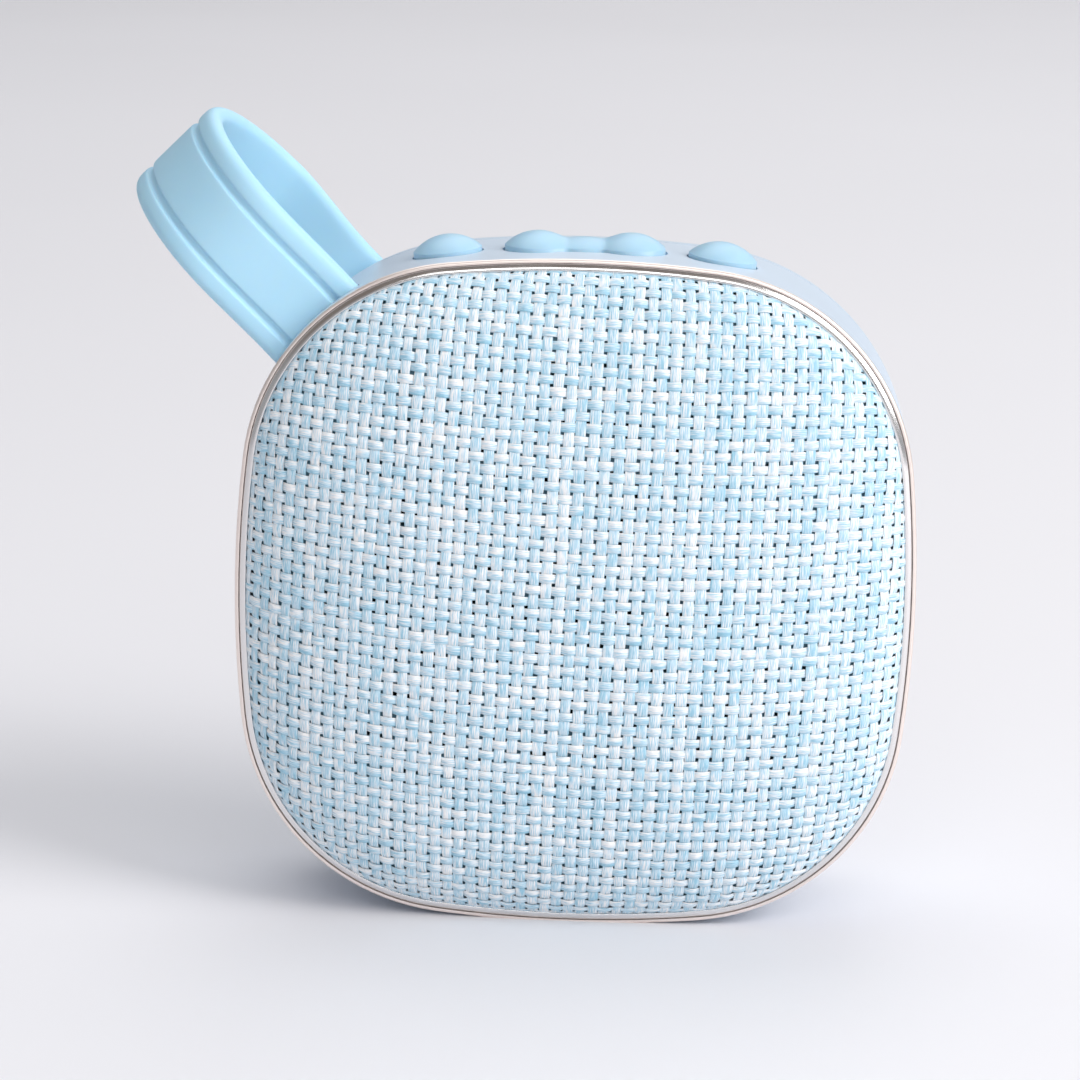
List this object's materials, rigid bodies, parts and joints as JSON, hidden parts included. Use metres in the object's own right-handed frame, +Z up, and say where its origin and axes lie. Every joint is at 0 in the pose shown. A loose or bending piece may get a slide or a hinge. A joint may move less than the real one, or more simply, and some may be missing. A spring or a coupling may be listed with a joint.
{
  "type": "portable speaker",
  "caption": "Palm-size speaker: rounded square case, domed woven front in a bright ring, rubber keys on top, sockets at the back and a moulded strap loop",
  "frame": {"origin": "on the flat under the case, where the speaker stands, below the middle of the front shell", "axes": "+Z up, +Y to the back, so the woven front faces -Y; +X to the right as seen from the front"},
  "size_m": [0.1013, 0.0434, 0.101],
  "materials": {
    "shell": "satin moulded plastic",
    "chrome": "bright plated",
    "cloth": "woven in two light yarns",
    "black_plastic": "moulded black",
    "sky_rubber": "soft sky-blue silicone",
    "soft_plug": "soft, shell coloured",
    "foam": "closed-cell foam",
    "steel": "zinc plated",
    "basket_steel": "black coated",
    "ferrite": "sintered ferrite",
    "paper": "coated pulp",
    "copper": "copper winding",
    "spider_cloth": "impregnated cotton",
    "surround_rubber": "butyl roll",
    "circuit": "green solder mask",
    "switch_black": "tact switch bodies",
    "cell_wrap": "shrink wrap",
    "wire": "insulated lead",
    "ribbon": "polyimide film",
    "socket_steel": "stamped",
    "clear": "clear light pipe",
    "led_white": "moulded"
  },
  "bodies": {
    "case": {"audio_socket": "black_plastic", "baffle_plate": "black_plastic", "baffle_screws": "steel", "battery_cell": "cell_wrap", "battery_foam": "foam", "battery_leads": "wire", "card_socket": "socket_steel", "driver_basket": "basket_steel", "driver_gasket": "foam", "driver_magnet": "ferrite", "driver_screws": "steel", "driver_spider": "spider_cloth", "driver_surround": "surround_rubber", "driver_terminals": "circuit", "driver_yoke": "steel", "front_shell": "shell", "grille_cloth": "cloth", "grille_frame": "black_plastic", "key_board": "circuit", "key_board_screws": "steel", "key_ribbon": "ribbon", "key_switches": "switch_black", "light_pipe": "clear", "main_board": "circuit", "main_board_screws": "steel", "microphone": "socket_steel", "radio_module": "socket_steel", "rear_cover": "shell", "rear_screws": "steel", "rocker_fulcrum": "black_plastic", "screw_plugs": "soft_plug", "speaker_leads": "wire", "status_led": "led_white", "top_plate": "steel", "trim_ring": "chrome", "usb_socket": "socket_steel", "wrist_strap": "sky_rubber"},
    "left_key": {"left_key": "sky_rubber"},
    "right_key": {"right_key": "sky_rubber"},
    "rocker": {"rocker_key": "sky_rubber"},
    "diaphragm": {"driver_cone": "paper", "dust_cap": "paper", "voice_coil": "copper"}
  },
  "joints": [
    {"name": "left_key_press", "type": "slide", "parent": "case", "child": "left_key", "axis": [0.1265, 0, -0.992], "range_m": [0, 0.0005], "stiffness_N_per_m": 60, "springref_m": -0.0015},
    {"name": "right_key_press", "type": "slide", "parent": "case", "child": "right_key", "axis": [-0.1265, 0, -0.992], "range_m": [0, 0.0005], "stiffness_N_per_m": 60, "springref_m": -0.0015},
    {"name": "rocker_tip", "type": "hinge", "parent": "case", "child": "rocker", "pos_m": [0, 0, 0.08085], "axis": [0, 1, 0], "range_deg": [-2.4, 2.4], "stiffness_Nm_per_rad": 0.002},
    {"name": "cone_travel", "type": "slide", "parent": "case", "child": "diaphragm", "axis": [0, -1, 0], "range_m": [-0.0015, 0.0015], "stiffness_N_per_m": 40, "deforming": ["driver_surround", "driver_spider"]}
  ]
}
